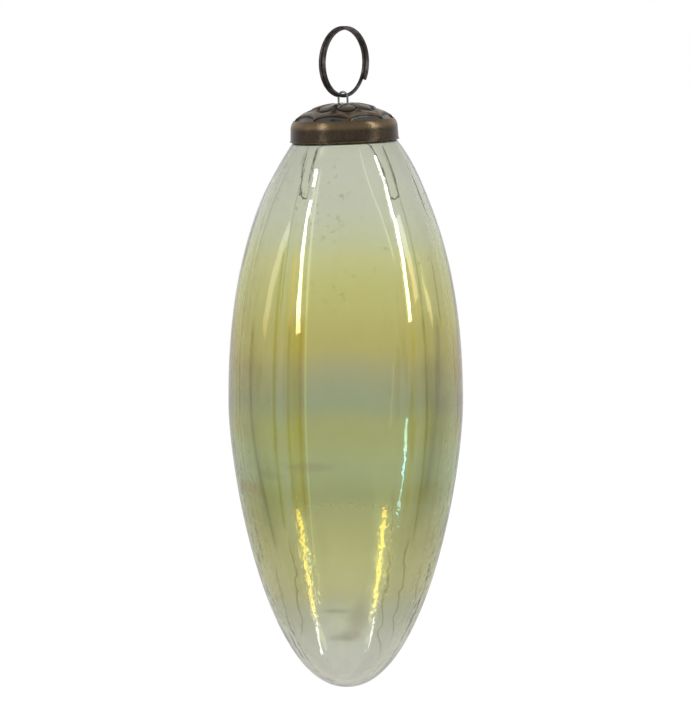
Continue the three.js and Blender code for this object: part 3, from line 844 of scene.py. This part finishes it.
def capTree(shape, rows):
    numbers = {name: value for name, value in shape.items() if name[0].isupper()}
    tree, make, entry = newTree("stamped_cap", numbers)
    size = {name: entry.of(name) for name in numbers}
    grid, angle, radius, height, _ = spin(make, entry, rows, shape["facets"])
    across = radius / mm
    cell = 2 * math.pi / shape["lobes"]
    turn = make.math("FLOORED_MODULO", angle, cell) - cell / 2
    fromArch = make.math("MINIMUM", make.math("ABSOLUTE", turn) / (cell / 2), 1.0)
    rise = 1 - make.math("SQRT", 1 - fromArch**2)
    arch = size["Arch peak"] + (size["Arch foot"] - size["Arch peak"]) * rise
    hollow = make.smooth(across, arch, arch + size["Arch side"])
    foot = size["Arch foot"]
    hollow = hollow * make.smooth(across, foot, foot + size["Hollow fade"], 1.0, 0.0)
    brow = make.bump(across, arch - size["Brow inset"], size["Brow width"]) * size["Brow rise"]
    petal = size["Petal tip"] - (size["Petal tip"] - size["Petal notch"]) * (1 - fromArch) ** 2
    outline = make.bump(across, petal, size["Groove width"])
    between = make.bump(across * make.math("SINE", turn), 0.0, size["Groove width"])
    within = make.smooth(across, size["Petal root"], size["Petal root"] + size["Petal edge"])
    within = within * make.smooth(across, petal - size["Petal edge"], petal, 1.0, 0.0)
    groove = make.math("MAXIMUM", outline, between * within) * size["Groove depth"]
    relief = within * size["Petal rise"] + brow - groove - hollow * size["Arch depth"]
    relief = relief * make.math("GREATER_THAN", height, shape["bandHeight"] * mm)
    place = ring(make, radius, angle, height + relief * mm)
    kept = keep(make, grid, "relief", relief)
    closeTree(make, seat(make, kept, place, leanTurn.angle), finishes["antique_brass"])
    return tree, numbers


def cap(shape):
    bandTop = shape["rimRadius"] - shape["bandTaper"]
    bend, sheet = shape["shoulderRadius"], shape["sheet"]
    shoulder = bandTop - bend
    turn = 90 - shape["crownSlope"]
    foot = shoulder + bend * math.cos(math.radians(turn))
    rise = shape["crownHeight"] - shape["bandHeight"] - bend * math.sin(math.radians(turn))
    slope = math.tan(math.radians(shape["crownSlope"]))
    power = slope * foot / rise

    def crown(radius, thickness=0.0):
        lean = slope * (radius / foot) ** (power - 1)
        return shape["crownHeight"] - rise * (radius / foot) ** power - thickness * math.hypot(1, lean)

    steps = 100
    radii = [foot * step / steps for step in range(steps)]
    outer = [(radius, crown(radius)) for radius in radii]
    outer += arc((shoulder, shape["bandHeight"]), bend, turn, 0, 22)
    bead, rim = shape["rimBead"], shape["rimRadius"]
    bandSteps = 8
    for step in range(1, bandSteps):
        share = step / bandSteps
        height = shape["bandHeight"] * (1 - share) + bead * 4 * share
        outer.append((bandTop + (rim - bandTop) * share, height))
    outer += arc((rim, bead * 2), bead * 1.6, 70, -90, 10)
    inner = [(rim - sheet, bead * 0.4), (bandTop - sheet, shape["bandHeight"])]
    inner += arc((shoulder, shape["bandHeight"]), bend - sheet, 0, turn, 12)[1:]
    inner += [(radius, crown(radius, sheet)) for radius in reversed(radii[::2]) if radius < foot - sheet]
    points = [(radius * mm, 0, height * mm) for radius, height in outer + inner]
    points.reverse()
    tree, numbers = capTree(shape, len(points))
    return runTree("cap_stamping", points, tree, numbers, "cap", "cap")


cap(capShape)

# hanging ring
ringShape = {
    "Wire": 1.3,
    "bore": 22.1,
    "coilGap": 0.16,
    "frontEnd": -32,  # directions of the ends, wound from one to the other
    "backEnd": 620,
    "middleAt": 270,  # direction in which the wire crosses the ring's own plane
    "steps": 220,
    "sides": 20,
}


def wireTree(name, sides, material, numbers):
    tree, make, entry = newTree(name, numbers)
    route = make.node("GeometryNodeMeshToCurve", None, {"Mesh": entry.of("Geometry")})
    section = {"Resolution": sides, "Radius": entry.of("Wire") * (mm / 2)}
    thick = make.node("GeometryNodeCurvePrimitiveCircle", {"mode": "RADIUS"}, section)
    girth = {"Curve": route, "Radius": named(make, "girth")}
    narrowed = make.node("GeometryNodeSetCurveRadius", None, girth)
    swept = {"Curve": narrowed, "Profile Curve": thick, "Fill Caps": True}
    closeTree(make, make.node("GeometryNodeCurveToMesh", None, swept), material)
    return tree


def wirePiece(name, points, shape, body, node, slot, size="Wire"):
    # a round wire along a route, its cut ends a little rounded
    numbers = {"Wire": shape[size]}
    girth = [1.0] * len(points)
    for step, share in enumerate((0.72, 0.92)):
        girth[step] = share
        girth[-1 - step] = share
    tree = wireTree(name, shape["sides"], finishes[slot], numbers)
    edges = [(step, step + 1) for step in range(len(points) - 1)]
    return runTree(name, points, tree, numbers, body, node, edges, {"girth": girth})


def hangingRing(shape):
    radius = (shape["bore"] + shape["Wire"]) / 2
    points = []
    for step in range(shape["steps"] + 1):
        angle = shape["frontEnd"] + (shape["backEnd"] - shape["frontEnd"]) * step / shape["steps"]
        y = (shape["Wire"] + shape["coilGap"]) * (angle - shape["middleAt"]) / 360
        turn = math.radians(angle)
        x, z = radius * math.cos(turn), radius * math.sin(turn) - shape["bore"] / 2
        points.append((x * mm, y * mm, z * mm))
    return wirePiece("hanging_ring_wire", points, shape, "ring", "hanging_ring", "dark_bronze")


hangingRing(ringShape)

# spring clip
clipShape = {
    "Wire": 0.55,
    "Loop wire": 0.75,
    "loopWidth": 3.9,
    "loopTop": 16.9,
    "hairpinDepth": 20.4,
    "hairpinReach": 20.4,
    "backReach": 18.8,
    "hairpinBend": 1.75,
    "legEnd": 10.9,
    "legSpread": 9.6,
    "legBow": 1.4,
    "freeEnd": (16.3, -2.3),
    "sides": 12,
}


def smoothRoute(knots, steps):
    # a curve through the knots, with the given steps between each two
    points = []
    for index in range(len(knots) - 1):
        before, start, end = knots[max(index - 1, 0)], knots[index], knots[index + 1]
        after = knots[min(index + 2, len(knots) - 1)]
        for step in range(steps):
            share = step / steps
            point = []
            for a, b, c, d in zip(before, start, end, after):
                bend = (c - a) * share + (2 * a - 5 * b + 4 * c - d) * share**2
                point.append(b + (bend + (d - a + 3 * (b - c)) * share**3) / 2)
            points.append(tuple(point))
    return points + [knots[-1]]


def toCapFrame(points):
    return [tuple(rimCentre + leanTurn @ (Vector((0, y, z)) * mm)) for y, z in points]


def springClip(shape):
    half = shape["loopWidth"] / 2
    centre = shape["loopTop"] - half
    neck = (half, shape["legEnd"])
    middle = (half, (centre + shape["legEnd"]) / 2)
    loop = [(-neck[0], neck[1]), (-middle[0], middle[1])]
    loop += arc((0, centre), half, 180, 0, 14) + [middle, neck]
    route = toCapFrame(smoothRoute(loop, 3))
    wirePiece("clip_loop", route, shape, "cap", "spring_clip", "spring_wire", "Loop wire")
    bend = shape["hairpinBend"]
    bendTop = bend - shape["hairpinDepth"]
    end = shape["freeEnd"]
    for side, name, reach in (
        (-1, "clip_leg_front", shape["hairpinReach"]),
        (1, "clip_leg_back", shape["backReach"]),
    ):
        leg = [
            neck,
            (shape["legSpread"], 0),
            ((shape["legSpread"] + reach - bend) / 2 + shape["legBow"], bendTop / 2),
            *arc((reach, bendTop), bend, 180, 360, 10),
            ((end[0] + reach + bend) / 2 + shape["legBow"] / 2, (bendTop + end[1]) / 2),
            end,
        ]
        route = [(side * y, z) for y, z in smoothRoute(leg, 6)]
        piece = wirePiece(name, toCapFrame(route), shape, "cap", "spring_clip", "spring_wire")
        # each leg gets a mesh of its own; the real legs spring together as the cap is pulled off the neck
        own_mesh(piece)


springClip(clipShape)
print("pieces made")

# studio
studioLook = {
    "floorDrop": 1.0,
    "floorSize": 8.0,
    "floorColour": (0.85, 0.85, 0.85),
    "shadowShare": 0.15,  # how much of the floor's white the lamps make, the rest shines by itself
    "roomLevel": 0.7,  # what gloss sees of the room, level and overhead
    "roomOverhead": 0.35,
    "roomRise": (0.1, 0.85),  # how far up, as the sine of the elevation, the one turns into the other
    "glassOverhead": 0.5,  # the same for what is seen through the glass, which is white lower down
    "glassRise": (0.55, 0.95),
    "distance": 0.9,  # of the strips from the glass, in metres
    "drop": 60,  # of the point that their elevations are measured from, in mm below the rim
    "strips": [
        # bearing to the right of the front, low and high elevation, width, brightness and roll
        {"name": "strip_left", "bearing": -51, "low": 5.5, "high": 40, "width": 0.07,
         "bright": 9, "roll": 12},
        {"name": "strip_left_top", "bearing": -62, "low": 44, "high": 49, "width": 0.09,
         "bright": 9, "roll": 20},
        {"name": "strip_far_left", "bearing": -83, "low": 2, "high": 28, "width": 0.1,
         "bright": 0.9, "roll": -24},
        {"name": "strip_right", "bearing": 71, "low": 7, "high": 52, "width": 0.065,
         "bright": 9, "roll": -5},
        {"name": "strip_right_glow", "bearing": 78, "low": 10, "high": 30, "width": 0.1,
         "bright": 1.3, "roll": 8},
        {"name": "strip_far_right", "bearing": 94.5, "low": 3, "high": 15, "width": 0.05,
         "bright": 1.1, "roll": 38},
        {"name": "strip_low_right", "bearing": 61, "low": -27, "high": -9, "width": 0.045,
         "bright": 8, "roll": 0, "tone": (0.2, 0.6, 1.0)},
        # near the table, for the golden lines and sparks of the lowest third
        {"name": "strip_table_left", "bearing": -55.5, "low": -51, "high": -30, "width": 0.045,
         "bright": 3.6, "roll": -8, "distance": 0.45, "tone": (1.0, 0.84, 0.1)},
        {"name": "strip_table_spark", "bearing": -48, "low": -49, "high": -37, "width": 0.02,
         "bright": 3, "roll": 0, "distance": 0.45, "tone": (0.8, 1.0, 0.8)},
        {"name": "strip_table_right", "bearing": 45.5, "low": -50, "high": -30, "width": 0.045,
         "bright": 3.4, "roll": 5, "distance": 0.45, "tone": (1.0, 0.82, 0.08)},
        {"name": "strip_under_left", "bearing": -76, "low": -67, "high": -52, "width": 0.04,
         "bright": 4, "roll": -35, "distance": 0.45},
        {"name": "strip_under_right", "bearing": 69, "low": -70, "high": -51, "width": 0.035,
         "bright": 3.5, "roll": 20, "distance": 0.45},
    ],
}


def addFloor(look):
    material, make = newMaterial("pale_floor")
    rays = make.node("ShaderNodeLightPath")
    colour = look["floorColour"] + (1,)
    plain = make.node("ShaderNodeBsdfPrincipled", None, {"Base Color": colour, "Roughness": 0.9})
    # mirrored it is as bright as the room, and seen or through the glass it is white
    mirrored = rays.of("Is Glossy Ray") * (1 - rays.of("Is Transmission Ray"))
    level = rays.of("Is Camera Ray") * look["shadowShare"] + 1 - mirrored * (1 - look["roomLevel"])
    lit = make.node("ShaderNodeEmission", None, {"Color": (1, 1, 1, 1), "Strength": level})
    seen = rays.of("Is Camera Ray") * (1 - look["shadowShare"])
    share = make.math("MAXIMUM", seen, rays.of("Is Glossy Ray"))
    finishMaterial(make, make.node("ShaderNodeMixShader", None, {0: share, 1: plain, 2: lit}))
    size, low = look["floorSize"], -look["floorDrop"]
    corners = [(-size, -size, low), (size, -size, low), (size, size, low), (-size, size, low)]
    mesh = bpy.data.meshes.new("floor")
    mesh.from_pydata(corners, [], [(0, 1, 2, 3)])
    mesh.materials.append(material)
    floor = bpy.data.objects.new("floor", mesh)
    scene.collection.objects.link(floor)


def addWorld(look):
    world = bpy.data.worlds.new("studio")
    scene.world = world
    world.use_nodes = True
    world.node_tree.nodes.clear()
    make = Maker(world.node_tree)
    rays = make.node("ShaderNodeLightPath")
    direction = make.node("ShaderNodeTexCoord", None, None, "Generated")
    up = make.node("ShaderNodeSeparateXYZ", None, {0: direction}).of("Z")
    room = make.smooth(up, *look["roomRise"], look["roomLevel"], look["roomOverhead"])
    through = make.smooth(up, *look["glassRise"], 1.0, look["glassOverhead"])
    level = room + (through - room) * rays.of("Is Transmission Ray")
    level = level + (1 - level) * rays.of("Is Camera Ray")
    background = make.node("ShaderNodeBackground", None, {"Color": (1, 1, 1, 1), "Strength": level})
    make.node("ShaderNodeOutputWorld", None, {"Surface": background})


def addStrip(look, strip):
    turn = frontBearing + math.radians(strip["bearing"])
    distance = strip.get("distance", look["distance"])
    low, high = (distance * math.tan(math.radians(strip[end])) for end in ("low", "high"))
    lamp = bpy.data.lights.new(strip["name"], "AREA")
    lamp.shape = "RECTANGLE"
    lamp.color = strip.get("tone", (1, 1, 1))
    lamp.size = strip["width"]
    lamp.size_y = high - low
    lamp.energy = strip["bright"] * math.pi * lamp.size * lamp.size_y
    light = bpy.data.objects.new(strip["name"], lamp)
    out = Vector((math.cos(turn), math.sin(turn), 0))
    light.location = rimCentre + out * distance + Vector((0, 0, (low + high) / 2 - look["drop"] * mm))
    roll = Quaternion(out, math.radians(strip["roll"]))
    light.rotation_euler = (roll @ out.to_track_quat("Z", "Y")).to_euler()
    scene.collection.objects.link(light)


addFloor(studioLook)
addWorld(studioLook)
for strip in studioLook["strips"]:
    addStrip(studioLook, strip)
print("studio lit")
